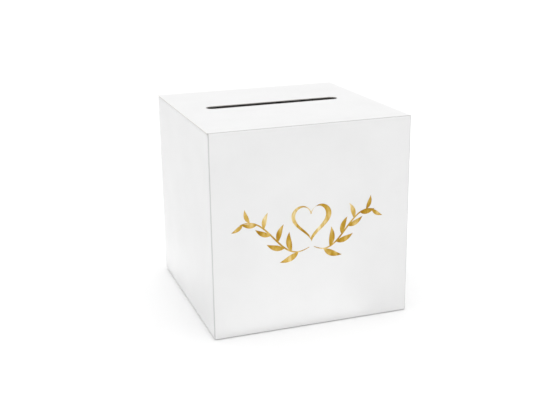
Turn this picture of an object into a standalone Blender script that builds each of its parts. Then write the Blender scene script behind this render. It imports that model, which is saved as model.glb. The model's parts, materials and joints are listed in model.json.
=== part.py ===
"""Wedding card box: a self-assembly folding carton with a posting slot in its hinged lid.

The box stands on its underside with its centre over the origin. X runs along its width, the
decorated front faces -Y and Z points up. Every panel and flap between two creases is one solid.
"""

import math

import bmesh
import bpy
from mathutils import Matrix, Vector

# ---- Overall sizes and the board, in metres ----
WIDTH = 0.240
DEPTH = 0.240
HEIGHT = 0.240
BOARD = 0.0010
FOLD_RADIUS = 0.0012  # outside radius of a folded crease
FOLD_STEPS = 4
GAP = 0.0003  # air between two pieces that rest on each other
LAYER = BOARD + GAP  # height taken by one layer of board
LOOSE = 0.0010  # play left beside a flap, so that it folds in without rubbing
FLAP_CORNER = 0.004

# ---- Posting slot ----
SLOT_LENGTH = 0.170
SLOT_WIDTH = 0.016
SLOT_BEHIND_MIDDLE = 0.013
SLOT_STEPS = 12

# ---- Lid, tuck flap and dust flaps ----
LID_TO_FRONT = 0.0004  # between the lid's front fold and the front panel's inside face
TUCK_DEPTH = 0.034
TUCK_CORNER = 0.026
TUCK_TIP_CLEARANCE = 0.0006  # to the front panel, as the tip swings out past it
DUST_TO_SLOT = 0.0045
DUST_FRONT_SETBACK = 0.009
DUST_BACK_SETBACK = 0.006
DUST_TAPER = math.radians(18.0)

# ---- Glued side seam ----
GLUE_FLAP = 0.026
GLUE_FLAP_TAPER = math.radians(12.0)
GLUE_FLAP_END = 0.008  # from the seam's end to the fold above or below it
GLUE = 0.0002
GLUE_LINE_WIDTH = 0.012
GLUE_SEAM = GAP + GLUE + GAP

# ---- Interlocking bottom ----
FRONT_FLAP = 0.148
FRONT_FLAP_TAPER = math.radians(4.0)
TONGUE_WIDTH = 0.080
TONGUE_RISE = 0.014  # run over which the tongue climbs through the layers above it
TONGUE_FLAT = 0.030
TONGUE_HOLD = 0.016  # how far the tongue's flat end reaches over the back flap
SIDE_TO_TONGUE = 0.004
SIDE_FRONT_CUT = 0.050
SIDE_BACK_CUT = 0.014
NOTCH_EASE = 0.002  # beside the tongue, each way
PRONG = 0.070  # reach of the back flap's two prongs past its notch
PRONG_CORNER = 0.018

# ---- Gold foil ornament on the front panel ----
FOIL = 0.0001
HEART_X = -0.002
HEART_Z = 0.1295
HEART_WIDTH = 0.049
HEART_STEPS = 48
HEART_INSIDE = (0.77, 0.86)  # width and height of the open middle against the outline
HEART_INSIDE_SHIFT = (-0.0010, 0.0006)
SPRAY_REACH_LEFT = 0.0850
SPRAY_REACH_RIGHT = 0.0780
SPRAY_HEIGHT = 0.036
SPRAY_START = (0.0028, -0.0320)
STEM_WIDTH = 0.0013
STEM_STEPS = 40
STEM_DIP = 0.006  # how far the stem sinks before it sweeps up
LEAVES = 9
LEAF_FIRST = 0.16  # place of the first and the last leaf as a share of the stem
LEAF_LAST = 0.96
LEAF_ANGLE = math.radians(42.0)
LEAF_BEND = 0.35  # radians that a leaf turns upwards by its tip
LEAF_SHRINK = 0.35  # how much smaller the last leaf is than the first
LEAF_LENGTH = 0.0250
LEAF_WIDTH = 0.0072
LEAF_STEPS = 10

FAR = 0.4  # longer than any panel, for prisms that are cut to length
X = Vector((1.0, 0.0, 0.0))
Y = Vector((0.0, 1.0, 0.0))
Z = Vector((0.0, 0.0, 1.0))


def clear_scene():
    for item in list(bpy.data.objects):
        bpy.data.objects.remove(item, do_unlink=True)


def material(name, colour, roughness, metallic=0.0):
    made = bpy.data.materials.new(name)
    made.use_nodes = True
    shader = made.node_tree.nodes["Principled BSDF"]
    shader.inputs["Base Color"].default_value = (*colour, 1.0)
    shader.inputs["Roughness"].default_value = roughness
    shader.inputs["Metallic"].default_value = metallic
    made.diffuse_color = (*colour, 1.0)
    return made


# ---- Panels are drawn in their own plane ----
# across runs along the crease, out runs away from it and depth runs from the printed face inwards.


def panel_frame(corner, out, inward):
    """The matrix that sets a panel's own axes (across, out, depth) in the box, from its crease's corner."""
    across = out.cross(inward)
    frame = Matrix((across, out, inward)).transposed().to_4x4()
    frame.translation = corner
    return frame


def folded_end(corner, towards):
    """The end of a panel's section at a crease: a rounded outside and half of the mitre, from outside to inside.

    corner is where the two outside faces would meet, and towards is +1 or -1, the way the end points.
    """
    set_back = GAP / math.sqrt(2.0)
    last = math.acos(set_back / (math.sqrt(2.0) * FOLD_RADIUS)) - math.pi / 4.0
    turns = [last * step / FOLD_STEPS for step in range(FOLD_STEPS + 1)]
    back_and_depth = [(FOLD_RADIUS * (1.0 - math.sin(a)), FOLD_RADIUS * (1.0 - math.cos(a))) for a in turns]
    back_and_depth.append((BOARD + set_back, BOARD))
    return [(corner - towards * back, depth) for back, depth in back_and_depth]


def cut_end(edge):
    """The square end of a panel's section where the board is cut."""
    return [(edge, 0.0), (edge, BOARD)]


def section(start, end):
    """A panel's closed section from its two ends."""
    return list(reversed(start)) + end


def prism(name, points, along, low, high):
    """A prism of this outline between low and high along one of a panel's axes (0 across, 1 out, 2 depth)."""
    shape = bmesh.new()
    corners = []
    for first, second in points:
        place = [first, second]
        place.insert(along, low)
        corners.append(shape.verts.new(place))
    shape.faces.new(corners)
    moved = bmesh.ops.extrude_face_region(shape, geom=list(shape.faces))
    step = [0.0, 0.0, 0.0]
    step[along] = high - low
    bmesh.ops.translate(shape, vec=step, verts=[v for v in moved["geom"] if isinstance(v, bmesh.types.BMVert)])
    bmesh.ops.recalc_face_normals(shape, faces=list(shape.faces))
    mesh = bpy.data.meshes.new(name)
    shape.to_mesh(mesh)
    shape.free()
    solid = bpy.data.objects.new(name, mesh)
    bpy.context.scene.collection.objects.link(solid)
    return solid


def combine(solid, tool, operation):
    """Applies an exact Boolean of tool to solid and removes the tool."""
    modifier = solid.modifiers.new(operation.title(), "BOOLEAN")
    modifier.operation = operation
    modifier.solver = "EXACT"
    modifier.object = tool
    graph = bpy.context.evaluated_depsgraph_get()
    made = bpy.data.meshes.new_from_object(solid.evaluated_get(graph))
    solid.modifiers.clear()
    before = solid.data
    solid.data = made
    bpy.data.meshes.remove(before)
    bpy.data.objects.remove(tool, do_unlink=True)
    return solid


def finish(solid, frame, finish_material):
    """Places a finished panel and gives it its material and flat shading."""
    solid.matrix_world = frame
    solid.data.name = solid.name
    solid.data.materials.clear()
    solid.data.materials.append(finish_material)
    return solid


def wall(name, frame, side_section, upright_section, finish_material):
    """A wall panel: its section across the box cut to its section up the box."""
    solid = prism(name, side_section, 1, -FAR, FAR)
    combine(solid, prism("cutter", upright_section, 0, -FAR, FAR), "INTERSECT")
    return finish(solid, frame, finish_material)


def flap(name, frame, outline, out_section, finish_material):
    """A flap: its flat outline cut to its section away from the crease."""
    solid = prism(name, outline, 2, -FAR, FAR)
    combine(solid, prism("cutter", out_section, 0, -FAR, FAR), "INTERSECT")
    return finish(solid, frame, finish_material)


def rounded(corners, steps=8):
    """An outline from (point, radius) corners, each rounded by an arc of its radius."""
    outline = []
    for index, (point, radius) in enumerate(corners):
        here = Vector(point)
        if radius == 0.0:
            outline.append(tuple(here))
            continue
        before = (Vector(corners[index - 1][0]) - here).normalized()
        after = (Vector(corners[(index + 1) % len(corners)][0]) - here).normalized()
        half = before.angle(after) / 2.0
        centre = here + (before + after).normalized() * (radius / math.sin(half))
        start = here + before * (radius / math.tan(half)) - centre
        end = here + after * (radius / math.tan(half)) - centre
        sweep = start.angle_signed(end)
        for step in range(steps + 1):
            outline.append(tuple(centre + Matrix.Rotation(-sweep * step / steps, 2) @ start))
    return outline


def handed(corners, towards_back):
    """Corners drawn front to back, turned round where the panel's own across axis points to the front."""
    if towards_back > 0.0:
        return corners
    return [((-across, out), radius) for (across, out), radius in reversed(corners)]


# ---- Walls ----


def build_walls(board):
    half_width = WIDTH / 2.0
    half_depth = DEPTH / 2.0
    side_top = HEIGHT - 2.0 * LAYER  # measured from the side panels' own bottom fold
    front = panel_frame(Vector((0.0, -half_depth, 0.0)), Z, Y)
    wall(
        "front_panel",
        front,
        section(folded_end(-half_width, -1), folded_end(half_width, 1)),
        section(folded_end(0.0, -1), cut_end(HEIGHT)),
        board,
    )
    upright = section(folded_end(0.0, -1), folded_end(side_top, 1))
    left = panel_frame(Vector((-half_width, 0.0, LAYER)), Z, X)
    wall(
        "left_panel",
        left,
        section(folded_end(-half_depth, -1), folded_end(half_depth, 1)),
        upright,
        board,
    )
    right = panel_frame(Vector((half_width, 0.0, LAYER)), Z, -X)
    seam_fold = half_depth - BOARD - GLUE_SEAM
    wall(
        "right_panel",
        right,
        section(folded_end(-seam_fold, -1), folded_end(half_depth, 1)),
        upright,
        board,
    )
    back = panel_frame(Vector((0.0, half_depth, 2.0 * LAYER)), Z, -Y)
    wall(
        "back_panel",
        back,
        section(folded_end(-half_width, -1), cut_end(half_width)),
        section(folded_end(0.0, -1), folded_end(HEIGHT - 2.0 * LAYER, 1)),
        board,
    )


def build_seam(board, glue):
    """The glue flap that turns in behind the back panel, and the line of glue between them."""
    low = LAYER + GLUE_FLAP_END
    high = HEIGHT - LAYER - GLUE_FLAP_END
    lean = GLUE_FLAP * math.tan(GLUE_FLAP_TAPER)
    corner = Vector((WIDTH / 2.0, DEPTH / 2.0 - BOARD - GLUE_SEAM, 0.0))
    frame = panel_frame(corner, -X, -Y)
    outline = [(low, 0.0), (high, 0.0), (high - lean, GLUE_FLAP), (low + lean, GLUE_FLAP)]
    flap("glue_flap", frame, outline, section(folded_end(0.0, -1), cut_end(GLUE_FLAP)), board)
    middle = WIDTH / 2.0 - GLUE_FLAP / 2.0 - BOARD
    half = GLUE_LINE_WIDTH / 2.0
    strip = [
        (middle - half, low + lean),
        (middle + half, low + lean),
        (middle + half, high - lean),
        (middle - half, high - lean),
    ]
    inside = DEPTH / 2.0 - BOARD - GAP
    line = prism("glue_line", strip, 1, inside - GLUE, inside)
    finish(line, Matrix.Identity(4), glue)


# ---- Lid ----


def slot_outline():
    """The posting slot: two straight sides joined by half circles, in the lid's (across, out) plane."""
    radius = SLOT_WIDTH / 2.0
    straight = SLOT_LENGTH / 2.0 - radius
    out = DEPTH / 2.0 - SLOT_BEHIND_MIDDLE
    outline = []
    for side in (1.0, -1.0):
        for step in range(SLOT_STEPS + 1):
            turn = math.pi * step / SLOT_STEPS - math.pi / 2.0
            outline.append((side * (straight + radius * math.cos(turn)), out + side * radius * math.sin(turn)))
    return outline


def build_lid(board):
    reach = DEPTH - BOARD - LID_TO_FRONT  # from the back fold to the lid's front fold
    tuck_width = WIDTH - 2.0 * (BOARD + LOOSE)
    frame = panel_frame(Vector((0.0, DEPTH / 2.0, HEIGHT)), -Y, -Z)
    half = WIDTH / 2.0
    outline = [(-half, -BOARD), (half, -BOARD), (half, reach + BOARD), (-half, reach + BOARD)]
    lid = prism("lid_panel", outline, 2, -FAR, FAR)
    combine(lid, prism("cutter", section(folded_end(0.0, -1), folded_end(reach, 1)), 0, -FAR, FAR), "INTERSECT")
    combine(lid, prism("cutter", slot_outline(), 2, -FAR, FAR), "DIFFERENCE")
    finish(lid, frame, board)

    # The tuck flap turns about the inside corner of its crease, and leans in by what its tip's swing needs.
    swing = TUCK_DEPTH**2 / (2.0 * reach)
    lean = math.atan2(swing + TUCK_TIP_CLEARANCE, TUCK_DEPTH)
    crease = Vector((0.0, BOARD - DEPTH / 2.0 + LID_TO_FRONT + BOARD, HEIGHT - BOARD))
    frame = Matrix.Translation(crease) @ Matrix.Rotation(lean, 4, "X") @ panel_frame(Vector(), -Z, Y)
    half = tuck_width / 2.0
    outline = rounded(
        [
            ((-half, -2.0 * BOARD), 0.0),
            ((half, -2.0 * BOARD), 0.0),
            ((half, TUCK_DEPTH - BOARD), TUCK_CORNER),
            ((-half, TUCK_DEPTH - BOARD), TUCK_CORNER),
        ]
    )
    profile = section(folded_end(0.0, -1), cut_end(TUCK_DEPTH))
    profile = [(out - BOARD, depth - BOARD) for out, depth in profile]
    flap("lid_tuck_flap", frame, outline, profile, board)


def build_dust_flaps(board):
    """The two flaps that fold in over the sides, short enough to leave the slot's path free."""
    reach = (WIDTH - SLOT_LENGTH) / 2.0 - DUST_TO_SLOT
    taper = reach * math.tan(DUST_TAPER)
    front = -DEPTH / 2.0 + BOARD + DUST_FRONT_SETBACK
    back = DEPTH / 2.0 - BOARD - GLUE_SEAM - BOARD - DUST_BACK_SETBACK
    for name, side in (("left_dust_flap", -1.0), ("right_dust_flap", 1.0)):
        frame = panel_frame(Vector((side * WIDTH / 2.0, 0.0, HEIGHT - LAYER)), -side * X, -Z)
        corners = [
            ((front, 0.0), 0.0),
            ((back, 0.0), 0.0),
            ((back - reach, reach), FLAP_CORNER),
            ((front + taper, reach), FLAP_CORNER),
        ]
        outline = rounded(handed(corners, -side))
        flap(name, frame, outline, section(folded_end(0.0, -1), cut_end(reach)), board)


# ---- Interlocking bottom ----


def build_bottom(board):
    half_width = WIDTH / 2.0
    half_depth = DEPTH / 2.0
    half_tongue = TONGUE_WIDTH / 2.0
    tongue_tip = FRONT_FLAP + TONGUE_RISE + TONGUE_FLAT

    # Front flap: the lowest layer, whose tongue climbs through the notch and rests on the back flap.
    frame = panel_frame(Vector((0.0, -half_depth, 0.0)), Y, Z)
    wide = half_width - FOLD_RADIUS
    narrow = wide - FRONT_FLAP * math.tan(FRONT_FLAP_TAPER)
    outline = rounded(
        [
            ((-wide, 0.0), 0.0),
            ((wide, 0.0), 0.0),
            ((narrow, FRONT_FLAP), PRONG_CORNER),
            ((half_tongue, FRONT_FLAP), 0.0),
            ((half_tongue, tongue_tip), PRONG_CORNER),
            ((-half_tongue, tongue_tip), PRONG_CORNER),
            ((-half_tongue, FRONT_FLAP), 0.0),
            ((-narrow, FRONT_FLAP), PRONG_CORNER),
        ]
    )
    climb = 3.0 * LAYER
    underside = [(FRONT_FLAP, 0.0), (FRONT_FLAP + TONGUE_RISE, climb), (tongue_tip, climb)]
    upper_side = [(out, depth + BOARD) for out, depth in reversed(underside)]
    profile = list(reversed(folded_end(0.0, -1))) + underside + upper_side
    flap("bottom_front_flap", frame, outline, profile, board)

    # Side flaps: the second layer, clear of the tongue.
    reach = half_width - half_tongue - SIDE_TO_TONGUE
    end = half_depth - BOARD - LOOSE
    for name, side in (("bottom_left_flap", -1.0), ("bottom_right_flap", 1.0)):
        frame = panel_frame(Vector((side * half_width, 0.0, LAYER)), -side * X, Z)
        corners = [
            ((-end, 0.0), 0.0),
            ((end, 0.0), 0.0),
            ((end - SIDE_BACK_CUT, reach), FLAP_CORNER),
            ((SIDE_FRONT_CUT - end, reach), FLAP_CORNER),
        ]
        outline = rounded(handed(corners, side))
        flap(name, frame, outline, section(folded_end(0.0, -1), cut_end(reach)), board)

    # Back flap: the third layer, with the notch that the tongue comes up through.
    frame = panel_frame(Vector((0.0, half_depth, 2.0 * LAYER)), -Y, Z)
    notch_floor = DEPTH - (tongue_tip - TONGUE_HOLD)
    prong_end = notch_floor + PRONG
    wide = half_width - BOARD - LOOSE
    half_notch = half_tongue + NOTCH_EASE
    outline = rounded(
        [
            ((-wide, 0.0), 0.0),
            ((wide, 0.0), 0.0),
            ((wide, prong_end), PRONG_CORNER),
            ((half_notch, prong_end), PRONG_CORNER),
            ((half_notch, notch_floor), FLAP_CORNER),
            ((-half_notch, notch_floor), FLAP_CORNER),
            ((-half_notch, prong_end), PRONG_CORNER),
            ((-wide, prong_end), PRONG_CORNER),
        ]
    )
    flap("bottom_back_flap", frame, outline, section(folded_end(0.0, -1), cut_end(prong_end)), board)


# ---- Gold foil ornament: an open heart between two leafy sprays, drawn in (x, z) on the front face ----


def foil_solid(name, outline):
    """A foil shape as a thin prism just in front of the front panel."""
    face = -DEPTH / 2.0 - GAP
    return prism(name, outline, 1, face - FOIL, face)


def heart_outline(size, shift):
    """The rounded heart curve of that width: x = 16 sin^3, z = 13 cos - 5 cos 2 - 2 cos 3 - cos 4."""
    scale = HEART_WIDTH / 32.0
    outline = []
    for step in range(HEART_STEPS):
        a = 2.0 * math.pi * (step + 0.5) / HEART_STEPS
        x = 16.0 * math.sin(a) ** 3
        z = 13.0 * math.cos(a) - 5.0 * math.cos(2.0 * a) - 2.0 * math.cos(3.0 * a) - math.cos(4.0 * a)
        outline.append((HEART_X + shift[0] + scale * size[0] * x, HEART_Z + shift[1] + scale * size[1] * z))
    return outline


def stem_point(share, side, reach):
    """A spray's stem: it leaves below the heart, dips, and sweeps up and out in one long S."""
    x = SPRAY_START[0] + (reach - SPRAY_START[0]) * share
    z = SPRAY_START[1] + SPRAY_HEIGHT * (0.5 - 0.5 * math.cos(math.pi * share)) * share**0.35
    z -= STEM_DIP * math.sin(2.0 * math.pi * share)
    return Vector((HEART_X + side * x, HEART_Z + z))


def stroke_outline(points, widths):
    """The outline of a pen stroke along points with the given width at each."""
    left, right = [], []
    for index, point in enumerate(points):
        ahead = points[min(index + 1, len(points) - 1)] - points[max(index - 1, 0)]
        normal = Vector((-ahead.y, ahead.x)).normalized() * widths[index] / 2.0
        left.append(tuple(point + normal))
        right.append(tuple(point - normal))
    return left + right[::-1]


def leaf_outline(root, heading, length, width):
    """A slim leaf that starts at root, bends a little upwards and ends in a point."""
    points = []
    widths = []
    for step in range(LEAF_STEPS + 1):
        share = step / LEAF_STEPS
        bend = heading + LEAF_BEND * share * math.copysign(1.0, math.cos(heading))
        points.append(root + Vector((math.cos(bend), math.sin(bend))) * length * share)
        widths.append(max(STEM_WIDTH * 0.4, width * math.sin(math.pi * share**0.85)))
    return stroke_outline(points, widths)


def build_spray(name, side, reach, foil):
    """One spray: a swelling stem with leaves in pairs along it, smaller towards the tip."""
    shares = [step / STEM_STEPS for step in range(STEM_STEPS + 1)]
    points = [stem_point(share, side, reach) for share in shares]
    widths = [STEM_WIDTH * (0.6 + 0.9 * math.sin(math.pi * share)) for share in shares]
    spray = foil_solid(name, stroke_outline(points, widths))
    for leaf in range(LEAVES):
        place = leaf / (LEAVES - 1)
        share = LEAF_FIRST + (LEAF_LAST - LEAF_FIRST) * place
        root = stem_point(share, side, reach)
        ahead = stem_point(share + 0.02, side, reach) - stem_point(share - 0.02, side, reach)
        turn = LEAF_ANGLE * (1.0 if leaf % 2 else -1.0)
        heading = math.atan2(ahead.y, ahead.x) + turn * side
        size = 1.0 - LEAF_SHRINK * place
        outline = leaf_outline(root, heading, LEAF_LENGTH * size, LEAF_WIDTH * size)
        combine(spray, foil_solid("leaf", outline), "UNION")
    finish(spray, Matrix.Identity(4), foil)


def build_ornament(foil):
    heart = foil_solid("foil_heart", heart_outline((1.0, 1.0), (0.0, 0.0)))
    face = -DEPTH / 2.0 - GAP
    hole = prism("hole", heart_outline(HEART_INSIDE, HEART_INSIDE_SHIFT), 1, face - 2.0 * FOIL, face + FOIL)
    combine(heart, hole, "DIFFERENCE")
    finish(heart, Matrix.Identity(4), foil)
    build_spray("foil_left_spray", -1.0, SPRAY_REACH_LEFT, foil)
    build_spray("foil_right_spray", 1.0, SPRAY_REACH_RIGHT, foil)


def main():
    clear_scene()
    board = material("white_laminated_board", (0.87, 0.87, 0.87), 0.45)
    glue = material("white_glue", (0.82, 0.80, 0.72), 0.35)
    foil = material("gold_foil", (0.62, 0.42, 0.15), 0.3, 1.0)
    build_walls(board)
    build_seam(board, glue)
    build_lid(board)
    build_dust_flaps(board)
    build_bottom(board)
    build_ornament(foil)


main()
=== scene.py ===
"""The wedding card box: white laminated board, a gold foil heart and sprays, and a white paper sweep.

Every panel and flap is one board. It is drawn flat, as the blank is cut, and then folded into place:
a blank point is (across, out, depth), where out runs away from the board's crease and depth runs from
the printed face to the inside. out = 0 is where the board leaves its crease, and below 0 it turns.
"""

import json
import math

import bmesh
import bpy
import numpy as np
from mathutils import Matrix, Vector


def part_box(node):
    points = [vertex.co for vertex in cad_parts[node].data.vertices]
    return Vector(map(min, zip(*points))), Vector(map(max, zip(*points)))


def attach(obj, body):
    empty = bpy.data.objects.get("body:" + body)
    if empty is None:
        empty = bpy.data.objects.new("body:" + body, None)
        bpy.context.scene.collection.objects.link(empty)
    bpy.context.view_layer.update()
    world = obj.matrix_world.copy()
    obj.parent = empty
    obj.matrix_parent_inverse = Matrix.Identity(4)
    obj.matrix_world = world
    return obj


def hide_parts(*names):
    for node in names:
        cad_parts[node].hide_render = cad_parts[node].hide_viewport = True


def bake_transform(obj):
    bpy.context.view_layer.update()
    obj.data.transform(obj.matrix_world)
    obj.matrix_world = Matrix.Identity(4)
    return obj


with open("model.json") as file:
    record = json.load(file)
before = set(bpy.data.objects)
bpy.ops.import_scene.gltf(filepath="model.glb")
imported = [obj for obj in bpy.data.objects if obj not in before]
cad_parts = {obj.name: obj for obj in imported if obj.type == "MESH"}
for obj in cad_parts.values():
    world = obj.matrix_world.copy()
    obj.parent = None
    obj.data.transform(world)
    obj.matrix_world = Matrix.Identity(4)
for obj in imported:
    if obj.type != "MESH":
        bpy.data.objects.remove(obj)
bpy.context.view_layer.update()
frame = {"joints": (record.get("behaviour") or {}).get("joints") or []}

# ---- Sizes from the frame, in metres ----
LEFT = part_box("left_panel")[0].x
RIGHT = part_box("right_panel")[1].x
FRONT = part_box("front_panel")[0].y
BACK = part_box("back_panel")[1].y
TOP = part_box("lid_panel")[1].z
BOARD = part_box("front_panel")[1].y - FRONT
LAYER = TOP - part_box("left_dust_flap")[1].z  # the height that one board and the air under it take
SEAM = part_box("glue_flap")[1].y  # the printed face of the glue flap
HALF_WIDTH = (RIGHT - LEFT) / 2.0
HALF_DEPTH = (BACK - FRONT) / 2.0

# ---- How the board is creased and cut ----
FOLD = 0.0012  # outside radius of a crease
FOLD_STEPS = 10
QUARTER = math.pi / 2.0
EASE = 0.00014  # how far the cutting rule rounds an edge
EASE_STEPS = 3
LEAD = 0.0012  # how far a hinged flap's crease works into the boards on both its sides
LEAD_STEPS = 4
LOW_WEAR_AND_SHADE = 0.15  # a low value for the crease grey, which is partly painted shade, and for the edge darkening, against 1 at the box's corners
TUCK_WEAR_AND_SHADE = 1.5  # the tuck flap's value: a greyer crease as painted shade in the groove behind the front wall's top edge, and darker cut edges
RELIEF = (-0.85, -0.1)  # where a narrower flap's edge steps in, as shares of its crease
FLAP_CORNER = 0.004
CORNER_STEPS = 12
SHARP = math.radians(12.0)  # edges steeper than this stay crisp

# ---- Slot, flaps and bottom, as the blank is cut ----
SLOT_LENGTH = 0.170
SLOT_WIDTH = 0.016
SLOT_BEHIND_MIDDLE = 0.013
SLOT_STEPS = 20
TUCK_CORNER = 0.026
DUST_TAPERS = (math.radians(18.0), math.radians(45.0))  # of the front end and the back end
GLUE_TAPER = math.radians(12.0)
GLUE_STEPS = 60
GLUE_FILL = 0.93  # the glue's mean half width, as a share of its line's, which the waves make ragged
GLUE_WAVES = ((0.05, 310.0), (0.02, 1130.0))  # share of the half width, and radians per metre
FRONT_FLAP = 0.148
FRONT_FLAP_TAPER = math.radians(4.0)
TONGUE_HALF = 0.040
TONGUE_RISE = 0.014  # run over which the tongue climbs
TONGUE_FLAT = 0.030
TONGUE_LIFT = 3.0 * LAYER
TONGUE_STEPS = 14
SIDE_CUTS = (0.050, 0.014)  # taken off the side flaps' tips, at the front and the back
NOTCH_HALF = 0.042
NOTCH_FLOOR = 0.064
PRONG_CORNER = 0.018

# ---- Gold foil ----
FOIL_LIFT = 0.00001
FOIL = 0.00005
FOIL_STEPS = 6
FILM_THINNING = 0.4  # the share of its thickness that a film loses at its edges
HEART_STEPS = 160
HEART_INSIDE = (0.77, 0.86)  # width and height of the open middle against the outline
HEART_INSIDE_SHIFT = (-0.0010, 0.0006)
SPRAY_REACH = {"left": 0.0850, "right": 0.0780}
SPRAY_HEIGHT = 0.036
SPRAY_START = (0.0028, -0.0320)
STEM_WIDTH = 0.0013
STEM_STEPS = 90
STEM_DIP = 0.006
STEM_LAG = 0.35  # the power of its length that holds the stem low at its start
STEM_SWELL = (0.6, 0.9)  # width at the ends and what the middle adds, as shares of STEM_WIDTH
STEM_GLANCE = 0.02  # share of the stem to each side over which its heading is taken
LEAVES = 9
LEAF_SPAN = (0.16, 0.96)  # place of the first and the last leaf as a share of the stem
LEAF_ANGLE = math.radians(42.0)
LEAF_BEND = 0.35
LEAF_SHRINK = 0.35
LEAF_LENGTH = 0.0250
LEAF_WIDTH = 0.0072
LEAF_STEPS = 28
LEAF_BELLY = 0.85  # the power that sets a leaf's widest place, nearer its root for a lower one
LEAF_ENDS = (0.4, 0.12)  # least width of its root half and its tip half, as shares of STEM_WIDTH

X, Y, Z = np.eye(3)


# ---- Materials ----

BOARD_WHITE = ("#E9E9E9", "#ECECEC")
# The crease grey is partly the fibres' own greying and partly painted shade: the dark lines along the
# folds, where the box meets the paper, and in the tuck's groove.
CREASE_GREY_AND_SHADE = "#C8C8C8"
DARKEST_EDGE_VALUE = 0.62  # how light a cut edge is at a wear-and-shade value of 1 or more, against one at 0


def linear(code):
    """An sRGB hex colour as linear red, green, blue and alpha."""
    parts = [int(code[i : i + 2], 16) / 255.0 for i in (1, 3, 5)]
    return tuple(c / 12.92 if c <= 0.04045 else ((c + 0.055) / 1.055) ** 2.4 for c in parts) + (1.0,)


def per_mm(size):
    """The scale that gives a pattern features of this size, in millimetres, on Object coordinates."""
    return 1000.0 / size


def add(tree, kind, sockets=None, **settings):
    """Adds a node, makes its settings, and sets or links its sockets. Returns its first output."""
    made = tree.nodes.new("ShaderNode" + kind)
    for key, value in settings.items():
        setattr(made, key, value)
    for key, value in (sockets or {}).items():
        if isinstance(value, bpy.types.NodeSocket):
            tree.links.new(value, made.inputs[key])
        else:
            made.inputs[key].default_value = value
    return made.outputs[0]


def ramp(tree, value, stops):
    """A colour ramp through (position, hex) stops."""
    colour = add(tree, "ValToRGB", {"Fac": value})
    elements = colour.node.color_ramp.elements
    while len(elements) < len(stops):
        elements.new(0.5)
    for element, (position, code) in zip(elements, stops):
        element.position = position
        element.color = linear(code)
    return colour


def surface(name, roughness, specular=0.5, metallic=0.0):
    """A material with its constant values set: (material, node tree, Object coordinates)."""
    made = bpy.data.materials.new(name)
    made.use_nodes = True
    tree = made.node_tree
    shader = tree.nodes["Principled BSDF"]
    shader.inputs["Roughness"].default_value = roughness
    shader.inputs["Specular IOR Level"].default_value = specular
    shader.inputs["Metallic"].default_value = metallic
    return made, tree, add(tree, "TexCoord").node.outputs["Object"]


def noise(tree, place, size, detail=3.0, roughness=0.5):
    """Noise with features of this size in millimetres, as its plain value."""
    sockets = {"Vector": place, "Scale": per_mm(size), "Detail": detail, "Roughness": roughness}
    return add(tree, "TexNoise", sockets)


def dress(tree, colour, *bumps):
    """Links the colour and a stack of (height, depth in metres, strength) bumps to the surface."""
    shader = tree.nodes["Principled BSDF"]
    tree.links.new(colour, shader.inputs["Base Color"])
    sockets = {}
    for height, distance, strength in bumps:
        bump = {"Height": height, "Distance": distance, "Strength": strength}
        normal = add(tree, "Bump", {**bump, **sockets})
        sockets = {"Normal": normal}
    tree.links.new(normal, shader.inputs["Normal"])


def satin_laminate():
    """Coated board with a satin film laminated on: an even white whose soft shine is broken by the
    rollers' orange peel, drawn at 1.6 mm, coarser than real so that it shows, and by slow waves."""
    made, tree, place = surface("satin_film_laminate", 0.46)
    peel = noise(tree, place, 1.6, 2.0)
    wave = noise(tree, place, 32.0, 1.0)
    tint = ramp(tree, noise(tree, place, 45.0), ((0.3, BOARD_WHITE[0]), (0.7, BOARD_WHITE[1])))
    dress(tree, tint, (peel, 0.00002, 0.35), (wave, 0.0002, 0.3))
    return made


def crease_laminate_with_painted_shade():
    """The laminate stretched over a crease, greyed along the crest: partly fibres swelling under the
    film, partly painted shade for the dark fold lines, the line along the paper and the tuck's groove.
    """
    made, tree, place = surface("creased_film_laminate_painted_shade", 0.55)
    crest = add(tree, "Attribute", attribute_name="crest").node.outputs["Fac"]
    fibre = noise(tree, place, 1.2, 4.0)
    # Greyer towards the crest: partly real fibre greying, partly painted shade.
    crest_grey_and_shade = add(tree, "Math", {0: fibre, 1: 0.3, 2: crest}, operation="MULTIPLY_ADD")
    tint = ramp(tree, crest_grey_and_shade, ((0.15, BOARD_WHITE[1]), (0.8, CREASE_GREY_AND_SHADE)))
    dress(tree, tint, (fibre, 0.00004, 0.5))
    return made


def uncoated_back():
    """The board's uncoated side: warmer and matt, felted, with darker fibres running up the sheet."""
    made, tree, place = surface("uncoated_board_back", 0.9, specular=0.25)
    felt = noise(tree, place, 3.0, 5.0, 0.65)
    drawn = add(tree, "Mapping", {"Vector": place, "Scale": (1.0, 1.0, 0.16)})
    both = add(tree, "Math", {0: felt, 1: noise(tree, drawn, 1.5, 4.0)}, operation="MULTIPLY")
    tint = ramp(tree, both, ((0.12, "#E3E1DC"), (0.24, "#E9E7E3"), (0.4, "#EFEEEA")))
    dress(tree, tint, (felt, 0.00006, 0.5))
    return made


def cut_edge():
    """The die-cut edge: rough pulp in faint plies between two white liners, darker on boards with a
    higher wear-and-shade value.
    """
    made, tree, place = surface("die_cut_board_edge", 0.95, specular=0.2)
    through = add(tree, "Attribute", attribute_name="through").node.outputs["Fac"]
    wear = add(tree, "Attribute", attribute_name="wear").node.outputs["Fac"]
    pulp = noise(tree, place, 0.7, 5.0, 0.7)
    worked = add(tree, "Math", {0: pulp, 1: 0.1, 2: through}, operation="MULTIPLY_ADD")
    plies = (
        (0.09, "#F4F4F2"), (0.17, "#ECEAE5"), (0.38, "#E9E6E0"), (0.43, "#EFEDE9"),
        (0.66, "#E9E6E0"), (0.71, "#EEECE8"), (0.92, "#ECEAE5"), (0.98, "#F2F1EE"),
    )
    light = add(tree, "MapRange", {"Value": wear, "To Min": 1.0, "To Max": DARKEST_EDGE_VALUE})
    tint = add(tree, "HueSaturation", {"Color": ramp(tree, worked, plies), "Value": light})
    dress(tree, tint, (pulp, 0.00008, 0.6))
    return made


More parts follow.
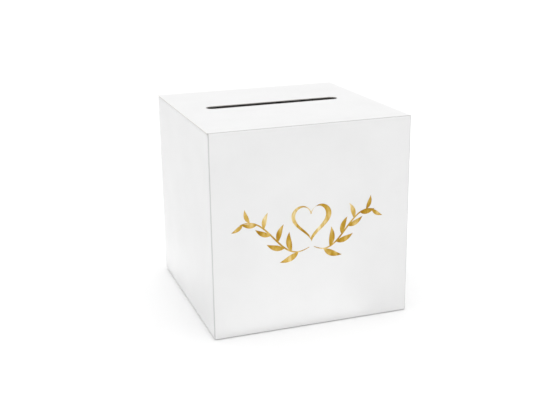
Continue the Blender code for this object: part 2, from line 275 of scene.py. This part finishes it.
def gold_foil_with_painted_reflection():
    """Hot-stamped gold foil: a metal film that takes up the board's tooth as a bump. Its colour is
    painted in soft slanting patches, pale as painted highlights and deep amber as painted shade, a
    painted reflection of its shine."""
    made, tree, place = surface("hot_stamped_gold_foil_painted_reflection", 0.36, metallic=1.0)
    drawn = add(tree, "Mapping", {"Vector": place, "Rotation": (0.0, 0.6, 0.0), "Scale": (1.0, 1.0, 0.4)})
    reflection_and_bump_patch = noise(tree, drawn, 9.0, 4.0)
    grain = noise(tree, drawn, 1.1)
    # Painted reflection: the ramp paints pale highlights and amber shade into the gold by the patches.
    tint = ramp(tree, reflection_and_bump_patch, ((0.32, "#A1761F"), (0.46, "#BA9436"), (0.58, "#D2B264"), (0.7, "#EDDCAC")))
    span = {"From Min": 0.3, "From Max": 0.7, "To Min": 0.28, "To Max": 0.48}
    rough = add(tree, "MapRange", {"Value": grain, **span})
    tree.links.new(rough, tree.nodes["Principled BSDF"].inputs["Roughness"])
    dress(tree, tint, (grain, 0.00005, 0.5), (reflection_and_bump_patch, 0.0008, 0.5))
    return made


def dried_glue():
    """Dispersion glue dried between two boards: a milky, slightly yellow skin with drag marks."""
    made, tree, place = surface("dried_dispersion_glue", 0.3)
    blot = noise(tree, place, 6.0, 2.0)
    dress(tree, ramp(tree, blot, ((0.3, "#DCD6C0"), (0.7, "#E9E5D6"))), (blot, 0.0001, 0.4))
    return made


def paper_sweep():
    """The studio's matt white paper."""
    made, tree, place = surface("white_paper_sweep", 0.9, specular=0.1)
    tint = ramp(tree, noise(tree, place, 400.0, 1.0), ((0.3, "#F7F7F7"), (0.7, "#F9F9F9")))
    dress(tree, tint, (noise(tree, place, 2.0), 0.0001, 0.1))
    return made


PRINTED, INSIDE, CUT, CREASED = range(4)
BOARD_MATERIALS = (satin_laminate(), uncoated_back(), cut_edge(), crease_laminate_with_painted_shade())


# ---- A board, from its blank to its folded place ----


def folded(origin, out, inward, turn=QUARTER, length=math.inf):
    """The map from the blank to the box: flat between out = 0 and length, and folded beyond both.

    Past a crease's start a point turns about the crease's centre, at radius FOLD - depth, by its distance
    over FOLD, up to turn. Past that it runs straight on in the neighbour's plane.
    """
    across = np.cross(out, inward)

    def place(a, o, d):
        run = np.clip(o, 0.0, length)
        side = np.sign(o - run)[..., None]
        over = np.abs(o - run)[..., None]
        angle = np.minimum(over / FOLD, turn)
        centre = origin + run[..., None] * out + FOLD * inward + a[..., None] * across
        outwards = np.cos(angle) * inward - side * np.sin(angle) * out
        onwards = np.sin(angle) * inward + side * np.cos(angle) * out
        return centre - (FOLD - d[..., None]) * outwards + (over - FOLD * angle) * onwards

    return place


def rim_levels():
    """How far in from the cut line, and how deep, each level of a cut edge is: a quarter round at each
    face, inset = EASE (1 - sin t) and depth = EASE (1 - cos t)."""
    turn = np.radians(np.linspace(0.0, 90.0, EASE_STEPS + 1))
    inset = EASE * (1.0 - np.sin(turn))
    depth = EASE * (1.0 - np.cos(turn))
    return np.concatenate([inset, inset[::-1]]), np.concatenate([depth, BOARD - depth[::-1]])


def insets(outline, cut):
    """The way that each point of a closed outline moves as its cut edges are drawn in by 1: v . n = 1 for
    the inward normal n of a cut edge beside the point, and v . n = 0 for one that meets another board."""
    ahead = np.roll(outline, -1, axis=0) - outline
    ahead = ahead / np.linalg.norm(ahead, axis=1, keepdims=True)
    after = np.stack([-ahead[:, 1], ahead[:, 0]], axis=1)
    before = np.roll(after, 1, axis=0)
    weight_after = cut.astype(float)[:, None]
    weight_before = np.roll(weight_after, 1, axis=0)
    cosine = np.sum(before * after, axis=1, keepdims=True)
    alike = weight_after * (before + after) / (1.0 + cosine)
    mixed = weight_after * (after - cosine * before) + weight_before * (before - cosine * after)
    return np.where(weight_after == weight_before, alike, mixed / np.maximum(1.0 - cosine**2, 1e-6))


def ring_quads(start, size, levels):
    """The quads between levels closed rings of size points, as rows of point numbers."""
    level = start + size * np.arange(levels - 1)[:, None]
    point = np.arange(size)[None, :]
    after = (point + 1) % size
    quads = np.stack([level + point, level + after, level + size + after, level + size + point], axis=-1)
    return quads.reshape(-1, 4).tolist()


def new_piece(name, points, faces, finishes, smooth, materials, attributes):
    """A mesh object with outward faces, from its points, faces, material numbers and smooth flags."""
    mesh = bpy.data.meshes.new(name)
    mesh.from_pydata(points.tolist(), [], faces)
    for item in materials:
        mesh.materials.append(item)
    mesh.polygons.foreach_set("material_index", finishes)
    mesh.polygons.foreach_set("use_smooth", smooth)
    for key, values in attributes.items():
        mesh.attributes.new(key, "FLOAT", "POINT").data.foreach_set("value", values)
    shape = bmesh.new()
    shape.from_mesh(mesh)
    bmesh.ops.recalc_face_normals(shape, faces=shape.faces)
    shape.to_mesh(mesh)
    shape.free()
    mesh.set_sharp_from_angle(angle=SHARP)
    piece = bpy.data.objects.new(name, mesh)
    bpy.context.scene.collection.objects.link(piece)
    return piece


def cap_corners(size, row, after, slot_ring, slot_row):
    """A board's face between two paired rows: round by low's points and high's, and past any slot."""
    near, far = [], []
    half = len(slot_ring) // 2
    if slot_ring and after == slot_row:
        near = slot_ring[: half + 1]
    if slot_ring and row == slot_row:
        far = slot_ring[half:] + slot_ring[:1]
    up_low = [size - 1 - point for point in range(row, after + 1)]
    return up_low + near + list(range(after, row - 1, -1)) + far


def board(
    name,
    low,
    high,
    place,
    pairs=None,
    seams="",
    slot=None,
    slot_row=None,
    length=math.inf,
    crease=FOLD * QUARTER,
    lift=None,
    wear=1.0,
):
    """A closed board of one thickness: its blank's outline, eased at the cut edges, folded by place.

    low and high are its two edges in (across, out), point for point, and pairs numbers the points where
    the faces are split straight across. seams names the edges (start, low, high, end) that meet another
    board, and the rest are cut. slot is a closed hole, from its low end along its near side and back.
    """
    rows = len(low)
    pairs = range(rows) if pairs is None else pairs
    outline = np.concatenate([high, low[::-1]])
    size = len(outline)
    cut = np.repeat(["high", "low"], rows)
    cut[rows - 1], cut[size - 1] = "end", "start"
    cut = ~np.isin(cut, seams.split())
    inset, depth = rim_levels()
    levels = len(inset)
    ring = outline[None] + inset[:, None, None] * insets(outline, cut)[None]
    flat = ring.reshape(-1, 2)
    d = np.repeat(depth, size)
    faces = ring_quads(0, size, levels)
    if slot is not None:
        ring = slot[None] - inset[:, None, None] * insets(slot, np.ones(len(slot), bool))[None]
        flat = np.concatenate([flat, ring.reshape(-1, 2)])
        d = np.concatenate([d, np.repeat(depth, len(slot))])
        faces += ring_quads(size * levels, len(slot), levels)
    finishes = [CUT] * len(faces)
    smooth = [True] * len(faces)
    ends = list(pairs) + ([rows - 1] if list(pairs)[-1] < rows - 1 else [])
    for level, skin in ((0, PRINTED), (levels - 1, INSIDE)):
        holes = 0 if slot is None else len(slot)
        slot_ring = [size * levels + level * holes + i for i in range(holes)]
        slot_ring = [number - level * size for number in slot_ring]
        for row, after in zip(ends[:-1], ends[1:]):
            middle = (high[row, 1] + high[after, 1]) / 2.0
            bent = -crease < middle < 0.0 or length < middle < length + crease
            lifted = lift is not None and after in pairs and row > 0 and not bent and after - row == 1
            corners = cap_corners(size, row, after, slot_ring, slot_row)
            faces.append([level * size + corner for corner in corners])
            finishes.append(CREASED if bent and skin == PRINTED else skin)
            smooth.append(bool(bent or lifted))
    a, o = flat.T
    points = place(a, o, d if lift is None else d + lift(o))
    over = np.where(o < 0.0, -o, np.clip(o - length, 0.0, None)) / crease
    # The crest value greys each crease's apex, scaled by the board's wear value: partly real fibre
    # greying, partly painted shade along the folds.
    crest = wear * np.sin(np.pi * np.clip(over, 0.0, 1.0))
    attributes = {"crest": crest, "through": d / BOARD, "wear": np.full_like(d, wear)}
    piece = new_piece(name, points, faces, finishes, smooth, BOARD_MATERIALS, attributes)
    return piece


def rounded_corner(before, corner, after, radius):
    """The arc of that radius between the straight edges before-corner and corner-after, or the corner."""
    before, corner, after = (np.array(point, float) for point in (before, corner, after))
    if radius == 0.0:
        return corner[None]
    to_before = (before - corner) / np.linalg.norm(before - corner)
    to_after = (after - corner) / np.linalg.norm(after - corner)
    middle = (to_before + to_after) / np.linalg.norm(to_before + to_after)
    half = math.acos(float(to_before @ middle))
    centre = corner + middle * radius / math.sin(half)
    side = (to_after - to_before) / np.linalg.norm(to_after - to_before)
    turn = np.linspace(-1.0, 1.0, CORNER_STEPS + 1)[:, None] * (math.pi / 2.0 - half)
    return centre - radius * (np.cos(turn) * middle - np.sin(turn) * side)


def edge_path(start, corners, beyond):
    """An edge on from start through (point, radius) corners, towards the point beyond the last."""
    points = [start] + [corner for corner, _ in corners] + [beyond]
    arcs = [rounded_corner(*points[i : i + 3], corners[i][1]) for i in range(len(corners))]
    return np.concatenate(arcs)


def mirrored(corners):
    """(point, radius) corners on the other side of the middle line."""
    return [((-across, out), radius) for (across, out), radius in corners]


def flap(name, place, full, narrow, low, high, turn=QUARTER, lead=0.0, hand=1.0, seams="start", **more):
    """A flap with the crease that it hangs by. Its edges leave the crease's far side at full, step in to
    narrow, and run through the low and high corners. hand is -1 where across runs from back to front."""
    if hand < 0.0:
        full, narrow = (-full[1], -full[0]), (-narrow[1], -narrow[0])
        low, high = mirrored(high), mirrored(low)
    crease = FOLD * turn
    out = np.linspace(-crease, 0.0, FOLD_STEPS + 1)
    if lead:
        run = np.linspace(0.0, lead, LEAD_STEPS)[1:]
        out = np.concatenate([-crease - run[::-1], out, run])
    step = np.interp(out / crease, RELIEF, (0.0, 1.0))
    set_back = FOLD * math.tan(turn / 2.0)
    edges = []
    for side, corners, others in ((0, low, high), (1, high, low)):
        edge = np.stack([full[side] + (narrow[side] - full[side]) * step, out], axis=1)
        corners = [((across, reach - set_back), radius) for (across, reach), radius in corners]
        beyond = (others[-1][0][0], others[-1][0][1] - set_back)
        edges.append(np.concatenate([edge, edge_path(edge[-1], corners, beyond)]))
    pairs = more.pop("pairs", range(len(out)))
    return board(name, *edges, place, pairs=pairs, seams=seams, crease=crease, **more)


def crease_frame(corner, out, inward, turn=QUARTER):
    """The map for a board that hangs from a crease, given where the two printed faces would meet."""
    return folded(np.array(corner) + FOLD * math.tan(turn / 2.0) * out, out, inward, turn)


# ---- Walls ----


def wall(name, node, origin, out, inward, length, low, high, folds="", cut="", wear=1.0):
    """A wall as a band that runs along the box: out is along it, across is up, and folds names the ends
    where it turns round a corner of the box."""
    before = np.linspace(-FOLD * QUARTER, 0.0, FOLD_STEPS + 1) if "start" in folds else np.zeros(1)
    after = np.linspace(0.0, FOLD * QUARTER, FOLD_STEPS + 1) if "end" in folds else np.zeros(1)
    run = np.concatenate([before, length + after])
    edges = [np.stack([np.full_like(run, height), run], axis=1) for height in (low, high)]
    seams = " ".join(edge for edge in ("start", "low", "high", "end") if edge not in cut.split())
    place = folded(np.array(origin), out, inward, length=length)
    piece = board(name, *edges, place, seams=seams, length=length, wear=wear)
    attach(piece, "carton")
    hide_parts(node)


def make_walls():
    side_low = LAYER + FOLD
    side_top = TOP - LAYER - FOLD - LEAD
    back_low = 2.0 * LAYER + FOLD
    back_top = TOP - FOLD - LEAD
    front_run = RIGHT - LEFT - 2.0 * FOLD
    left_run = BACK - FRONT - 2.0 * FOLD
    right_run = SEAM - FRONT - 2.0 * FOLD
    back_run = RIGHT - LEFT - FOLD
    front_start = (LEFT + FOLD, FRONT, 0.0)
    left_start = (LEFT, BACK - FOLD, 0.0)
    right_start = (RIGHT, FRONT + FOLD, 0.0)
    back_start = (RIGHT, BACK, 0.0)
    # The front wall keeps the value 1: its corner creases' grey paints part of the shade along the
    # vertical folds.
    wall("front_wall", "front_panel", front_start, X, Y, front_run, FOLD, TOP, "start end", "high")
    wall("left_wall", "left_panel", left_start, -Y, X, left_run, side_low, side_top)
    wall("right_wall", "right_panel", right_start, Y, -X, right_run, side_low, side_top)
    wall(
        "back_wall", "back_panel", back_start, -X, -Y, back_run, back_low, back_top, "end", "start", LOW_WEAR_AND_SHADE
    )


def make_seam():
    """The glue flap behind the back wall, and the glue between them."""
    lowest, highest = (corner.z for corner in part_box("glue_flap"))
    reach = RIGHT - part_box("glue_flap")[0].x
    lean = reach * math.tan(GLUE_TAPER)
    piece = flap(
        "seam_flap",
        crease_frame((RIGHT, SEAM, 0.0), -X, -Y),
        (LAYER + FOLD, TOP - LAYER - FOLD - LEAD),
        (lowest, highest),
        [((lowest + lean, reach), 0.0)],
        [((highest - lean, reach), 0.0)],
    )
    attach(piece, "carton")
    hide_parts("glue_flap")

    low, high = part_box("glue_line")
    run = np.linspace(low.z, high.z, GLUE_STEPS)
    middle, half = (low.x + high.x) / 2.0, (high.x - low.x) / 2.0
    ragged = half * sum((size * np.sin(run * rate) for size, rate in GLUE_WAVES), GLUE_FILL)
    edges = [np.stack([middle + side * ragged, run], axis=1) for side in (-1.0, 1.0)]
    points, faces = film(*edges, low.y, high.y - low.y)
    glue = film_piece("glue_bead", [(points, faces)], dried_glue())
    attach(glue, "carton")
    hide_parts("glue_line")


# ---- Lid ----


def slot_outline(centre):
    """The posting slot: two straight sides joined by half circles, from its low end on the near side."""
    radius = SLOT_WIDTH / 2.0
    turn = np.linspace(-QUARTER, QUARTER, SLOT_STEPS + 1)
    straight = SLOT_LENGTH / 2.0 - radius
    end = np.stack([straight + radius * np.cos(turn), centre + radius * np.sin(turn)], axis=1)
    whole = np.concatenate([end, [0.0, 2.0 * centre] - end])
    return np.roll(whole, SLOT_STEPS // 2 + 1, axis=0)


def make_lid():
    """The lid with its back crease, which bends between the carton and the lid, and its tuck flap."""
    box_low, box_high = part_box("lid_tuck_flap")
    knee = next(joint for joint in frame["joints"] if joint["name"] == "tuck_crease")["pos_m"]
    lean = math.atan2(box_high.y - knee[1], knee[2] - box_low.z)
    turn = QUARTER + lean
    down = math.sin(lean) * Y - math.cos(lean) * Z
    inward = math.cos(lean) * Y + math.sin(lean) * Z
    corner = np.array(knee) - BOARD * inward - BOARD * math.tan(turn / 2.0) * down
    centre = corner + FOLD * inward + FOLD * math.tan(turn / 2.0) * down

    place = crease_frame((0.0, BACK, TOP), -Y, -Z)
    run = BACK - FOLD - centre[1]
    slot_at = HALF_DEPTH - FOLD - SLOT_BEHIND_MIDDLE
    rows = FOLD_STEPS + 1 + 2 * (LEAD_STEPS - 1)
    right = [((HALF_WIDTH, slot_at + FOLD), 0.0), ((HALF_WIDTH, run + FOLD), 0.0)]
    lid = flap(
        "lid_board",
        place,
        (FOLD - HALF_WIDTH, HALF_WIDTH),
        (-HALF_WIDTH, HALF_WIDTH),
        mirrored(right),
        right,
        lead=LEAD,
        seams="start end",
        pairs=range(rows + 2),
        slot=slot_outline(slot_at),
        slot_row=rows,
        wear=LOW_WEAR_AND_SHADE,
    )
    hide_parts("lid_panel")
    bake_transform(lid)

    half = (box_high.x - box_low.x) / 2.0
    reach = (box_high.y - knee[1]) / math.sin(lean) + BOARD * math.tan(turn / 2.0)
    tuck = flap(
        "tuck_board",
        crease_frame(corner, down, inward, turn),
        (-HALF_WIDTH, HALF_WIDTH),
        (-half, half),
        [((-half, reach), TUCK_CORNER)],
        [((half, reach), TUCK_CORNER)],
        turn=turn,
        # A greyer crease here paints the shade in the groove behind the front wall's top edge.
        wear=TUCK_WEAR_AND_SHADE,
    )
    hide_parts("lid_tuck_flap")
    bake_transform(tuck)


def make_dust_flaps():
    """The flaps that fold in under the lid, one on each side."""
    for side, name, body in ((-1.0, "left_dust", "left_dust"), (1.0, "right_dust", "right_dust")):
        low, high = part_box(f"{name}_flap")
        reach = high.x - low.x
        edge = side * HALF_WIDTH
        wall_back = BACK - FOLD if side < 0.0 else SEAM - FOLD
        front_tip = low.y + reach * math.tan(DUST_TAPERS[0])
        back_tip = high.y - reach * math.tan(DUST_TAPERS[1])
        piece = flap(
            f"{name}_board",
            crease_frame((edge, 0.0, TOP - LAYER), -side * X, -Z),
            (FRONT + FOLD, wall_back),
            (low.y, high.y),
            [((front_tip, reach), FLAP_CORNER)],
            [((back_tip, reach), FLAP_CORNER)],
            lead=LEAD,
            hand=-side,
            wear=LOW_WEAR_AND_SHADE,
        )
        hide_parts(f"{name}_flap")
        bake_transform(piece)


# ---- Interlocking bottom ----


def make_bottom():
    """The front flap with its tongue, the two side flaps over it, and the notched back flap on top."""
    shoulder = HALF_WIDTH - FOLD - FRONT_FLAP * math.tan(FRONT_FLAP_TAPER)
    tip = FRONT_FLAP + TONGUE_RISE + TONGUE_FLAT
    climb = np.linspace(0.0, TONGUE_RISE, TONGUE_STEPS + 1) + FRONT_FLAP

    def climbing(o):
        share = np.clip((o + FOLD - FRONT_FLAP) / TONGUE_RISE, 0.0, 1.0)
        return TONGUE_LIFT * share**2 * (3.0 - 2.0 * share)

    right = [((shoulder, FRONT_FLAP), PRONG_CORNER)]
    right += [((TONGUE_HALF, height), 0.0) for height in climb]
    right += [((TONGUE_HALF, tip), PRONG_CORNER)]
    wide = HALF_WIDTH - FOLD
    first = FOLD_STEPS + 1 + CORNER_STEPS + 1
    # This crease keeps the value 1: its grey paints part of the shade where the box meets the paper.
    piece = flap(
        "bottom_front_board",
        crease_frame((0.0, FRONT, 0.0), Y, Z),
        (-wide, wide),
        (-wide, wide),
        mirrored(right),
        right,
        pairs=list(range(FOLD_STEPS + 1)) + list(range(first, first + TONGUE_STEPS + 1)),
        lift=climbing,
    )
    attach(piece, "carton")
    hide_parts("bottom_front_flap")

    for side, name in ((-1.0, "bottom_left"), (1.0, "bottom_right")):
        low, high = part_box(f"{name}_flap")
        reach = high.x - low.x
        piece = flap(
            f"{name}_board",
            crease_frame((side * HALF_WIDTH, 0.0, LAYER), -side * X, Z),
            (FRONT + FOLD, BACK - FOLD if side < 0.0 else SEAM - FOLD),
            (low.y, high.y),
            [((low.y + SIDE_CUTS[0], reach), FLAP_CORNER)],
            [((high.y - SIDE_CUTS[1], reach), FLAP_CORNER)],
            hand=side,
            wear=LOW_WEAR_AND_SHADE,
        )
        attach(piece, "carton")
        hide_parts(f"{name}_flap")

    low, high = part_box("bottom_back_flap")
    prong = high.y - low.y
    half = (high.x - low.x) / 2.0
    right = [((half, prong), PRONG_CORNER), ((NOTCH_HALF, prong), PRONG_CORNER)]
    right += [((NOTCH_HALF, NOTCH_FLOOR), FLAP_CORNER)]
    piece = flap(
        "bottom_back_board",
        crease_frame((0.0, BACK, 2.0 * LAYER), -Y, Z),
        (-HALF_WIDTH, HALF_WIDTH - FOLD),
        (-half, half),
        mirrored(right),
        right,
        wear=LOW_WEAR_AND_SHADE,
    )
    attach(piece, "carton")
    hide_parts("bottom_back_flap")


# ---- Gold foil ornament, drawn in (x, z) on the front wall ----


def film(left, right, back, thickness, closed=False):
    """A thin stroke between two edges, as (points, faces): front(t, u) = left + u (right - left), raised
    by thickness (1 - FILM_THINNING (2u - 1)^4) towards the front, over a flat back at y = back."""
    share = np.linspace(0.0, 1.0, FOIL_STEPS + 1)
    rise = thickness * (1.0 - FILM_THINNING * (2.0 * share - 1.0) ** 4)
    share = np.concatenate([share, [1.0, 0.0]])
    rise = np.concatenate([rise, [0.0, 0.0]])
    flat = left[:, None, :] * (1.0 - share[None, :, None]) + right[:, None, :] * share[None, :, None]
    depth = np.broadcast_to(back - rise, flat.shape[:2])
    points = np.stack([flat[..., 0], depth, flat[..., 1]], axis=-1)
    rows, size = points.shape[:2]
    faces = ring_quads(0, size, rows)
    if closed:
        point = np.arange(size)
        after = (point + 1) % size
        last = (rows - 1) * size
        faces += np.stack([last + point, last + after, after, point], axis=-1).tolist()
    else:
        faces += [list(range(size)), list(range((rows - 1) * size, rows * size))]
    return points.reshape(-1, 3), faces


def film_piece(name, strokes, material):
    """One object from several (points, faces) strokes."""
    starts = np.cumsum([0] + [len(points) for points, _ in strokes])
    faces = []
    for start, (_, some) in zip(starts, strokes):
        faces += [[int(start) + corner for corner in face] for face in some]
    points = np.concatenate([points for points, _ in strokes])
    count = len(faces)
    piece = new_piece(name, points, faces, [0] * count, [True] * count, [material], {})
    return piece


def heart_curve():
    """The rounded heart curve: x = 16 sin^3, z = 13 cos - 5 cos 2 - 2 cos 3 - cos 4."""
    turn = 2.0 * np.pi * (np.arange(HEART_STEPS) + 0.5) / HEART_STEPS
    z = 13.0 * np.cos(turn) - 5.0 * np.cos(2.0 * turn) - 2.0 * np.cos(3.0 * turn) - np.cos(4.0 * turn)
    return np.stack([16.0 * np.sin(turn) ** 3, z], axis=1)


def ribbon(line, widths):
    """The two edges of a pen stroke along line, half its width to each side."""
    ahead = np.gradient(line, axis=0)
    normal = np.stack([-ahead[:, 1], ahead[:, 0]], axis=1)
    normal *= (widths / 2.0 / np.linalg.norm(normal, axis=1))[:, None]
    return line + normal, line - normal


def stem_line(share, side, reach):
    """A spray's stem: it leaves below the heart, dips, and sweeps up and out in one long S."""
    x = SPRAY_START[0] + (reach - SPRAY_START[0]) * share
    z = SPRAY_START[1] + SPRAY_HEIGHT * (0.5 - 0.5 * np.cos(np.pi * share)) * share**STEM_LAG
    z = z - STEM_DIP * np.sin(2.0 * np.pi * share)
    return np.stack([side * x, z], axis=-1)


def leaf_edges(root, heading, length, width):
    """A slim leaf from root: it bends a little, and its width follows sin(pi t^LEAF_BELLY) to a point."""
    share = np.linspace(0.0, 1.0, LEAF_STEPS + 1)
    bend = heading + LEAF_BEND * share * math.copysign(1.0, math.cos(heading))
    line = root + np.stack([np.cos(bend), np.sin(bend)], axis=1) * (length * share)[:, None]
    least = STEM_WIDTH * np.where(share < 0.5, *LEAF_ENDS)
    widths = np.maximum(width * np.sin(np.pi * share**LEAF_BELLY), least)
    return ribbon(line, widths)


def make_ornament():
    """The foil heart and its two sprays, just proud of the front wall's printed face."""
    foil = gold_foil_with_painted_reflection()
    back = FRONT - FOIL_LIFT
    low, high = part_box("foil_heart")
    curve = heart_curve()
    scale = (high.x - low.x) / np.ptp(curve[:, 0])
    middle = np.array([(low.x + high.x) / 2.0, high.z - scale * curve[:, 1].max()])
    inside = middle + HEART_INSIDE_SHIFT + scale * curve * HEART_INSIDE
    strokes = [film(middle + scale * curve, inside, back, FOIL, closed=True)]
    heart = film_piece("gold_heart", strokes, foil)
    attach(heart, "carton")
    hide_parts("foil_heart")

    for name, side in (("left", -1.0), ("right", 1.0)):
        share = np.linspace(0.0, 1.0, STEM_STEPS + 1)
        reach = SPRAY_REACH[name]
        line = middle + stem_line(share, side, reach)
        widths = STEM_WIDTH * (STEM_SWELL[0] + STEM_SWELL[1] * np.sin(np.pi * share))
        strokes = [film(*ribbon(line, widths), back, FOIL)]
        for leaf in range(LEAVES):
            place = leaf / (LEAVES - 1)
            at = LEAF_SPAN[0] + (LEAF_SPAN[1] - LEAF_SPAN[0]) * place
            near = np.array([at - STEM_GLANCE, at, at + STEM_GLANCE])
            before, root, after = middle + stem_line(near, side, reach)
            heading = math.atan2(after[1] - before[1], after[0] - before[0])
            heading += LEAF_ANGLE * side * (1.0 if leaf % 2 else -1.0)
            size = 1.0 - LEAF_SHRINK * place
            edges = leaf_edges(root, heading, LEAF_LENGTH * size, LEAF_WIDTH * size)
            strokes.append(film(*edges, back, FOIL))
        spray = film_piece(f"gold_{name}_spray", strokes, foil)
        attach(spray, "carton")
        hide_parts(f"foil_{name}_spray")


# ---- Studio ----

CAMERA_AZIMUTH = math.radians(-18.76)
CAMERA_ELEVATION = math.radians(17.21)
CAMERA_ROLL = math.radians(-0.89)
CAMERA_DISTANCE = 1.1448
CAMERA_AIM = (-0.01392, -0.0012)  # to the right of and above the box's middle
CAMERA_LENS = 61.6
FLOOR_REACH = 12.0
TENT = ((0.0, "#C2C2C2"), (0.2, "#C2C2C2"), (0.32, "#676767"), (1.0, "#FFFFFF"))  # by the view's height
TENT_STRENGTH = 1.88
GLOW_HEIGHT = 0.004
FRONT_GLOW = ((-0.02, -0.21), 0.17, 0.026)  # place on the paper, size, and power in watts
LEFT_GLOW = ((-0.21, 0.12), 0.15, 0.028)
FLOOR_DROP = 0.0003  # the board's own waves hold its underside this far off the paper


def make_floor():
    mesh = bpy.data.meshes.new("paper_sweep")
    reach = FLOOR_REACH * np.array([(-1.0, -1.0), (1.0, -1.0), (1.0, 1.0), (-1.0, 1.0)])
    corners = np.column_stack([reach, np.full(len(reach), -FLOOR_DROP)])
    mesh.from_pydata(corners.tolist(), [], [(0, 1, 2, 3)])
    mesh.materials.append(paper_sweep())
    floor = bpy.data.objects.new("paper_sweep", mesh)
    bpy.context.scene.collection.objects.link(floor)


def make_sky():
    """A soft white tent: white walls, a dimmer slope above them, and a bright roof."""
    world = bpy.data.worlds.new("studio_tent")
    world.use_nodes = True
    bpy.context.scene.world = world
    tree = world.node_tree
    view = add(tree, "TexCoord").node.outputs["Generated"]
    up = add(tree, "SeparateXYZ", {"Vector": view}).node.outputs["Z"]
    background = tree.nodes["Background"]
    tree.links.new(ramp(tree, up, TENT), background.inputs["Color"])
    background.inputs["Strength"].default_value = TENT_STRENGTH


def glow_panel(name, place, size, power):
    """A square lamp low over the paper that shines straight up, to lift the foot of a wall."""
    light = bpy.data.lights.new(name, "AREA")
    light.size = size
    light.energy = power
    lamp = bpy.data.objects.new(name, light)
    lamp.location = (*place, GLOW_HEIGHT)
    lamp.rotation_euler = (math.pi, 0.0, 0.0)
    lamp.visible_camera = False
    bpy.context.scene.collection.objects.link(lamp)


def make_camera():
    a, e, r = CAMERA_AZIMUTH, CAMERA_ELEVATION, CAMERA_ROLL
    away = Vector((math.sin(a) * math.cos(e), -math.cos(a) * math.cos(e), math.sin(e)))
    right = Vector((math.cos(a), math.sin(a), 0.0))
    up = away.cross(right)
    aim = Vector((0.0, 0.0, TOP / 2.0)) + CAMERA_AIM[0] * right + CAMERA_AIM[1] * up
    right, up = right * math.cos(r) + up * math.sin(r), up * math.cos(r) - right * math.sin(r)
    camera = bpy.data.objects.new("camera", bpy.data.cameras.new("camera"))
    camera.data.lens = CAMERA_LENS
    turn = Matrix((right, up, away)).transposed().to_4x4()
    camera.matrix_world = Matrix.Translation(aim + CAMERA_DISTANCE * away) @ turn
    bpy.context.scene.collection.objects.link(camera)
    bpy.context.scene.camera = camera


make_walls()
make_seam()
make_lid()
make_dust_flaps()
make_bottom()
make_ornament()
make_floor()
make_sky()
glow_panel("front_glow", *FRONT_GLOW)
glow_panel("left_glow", *LEFT_GLOW)
make_camera()
bpy.context.scene.view_settings.view_transform = "Standard"
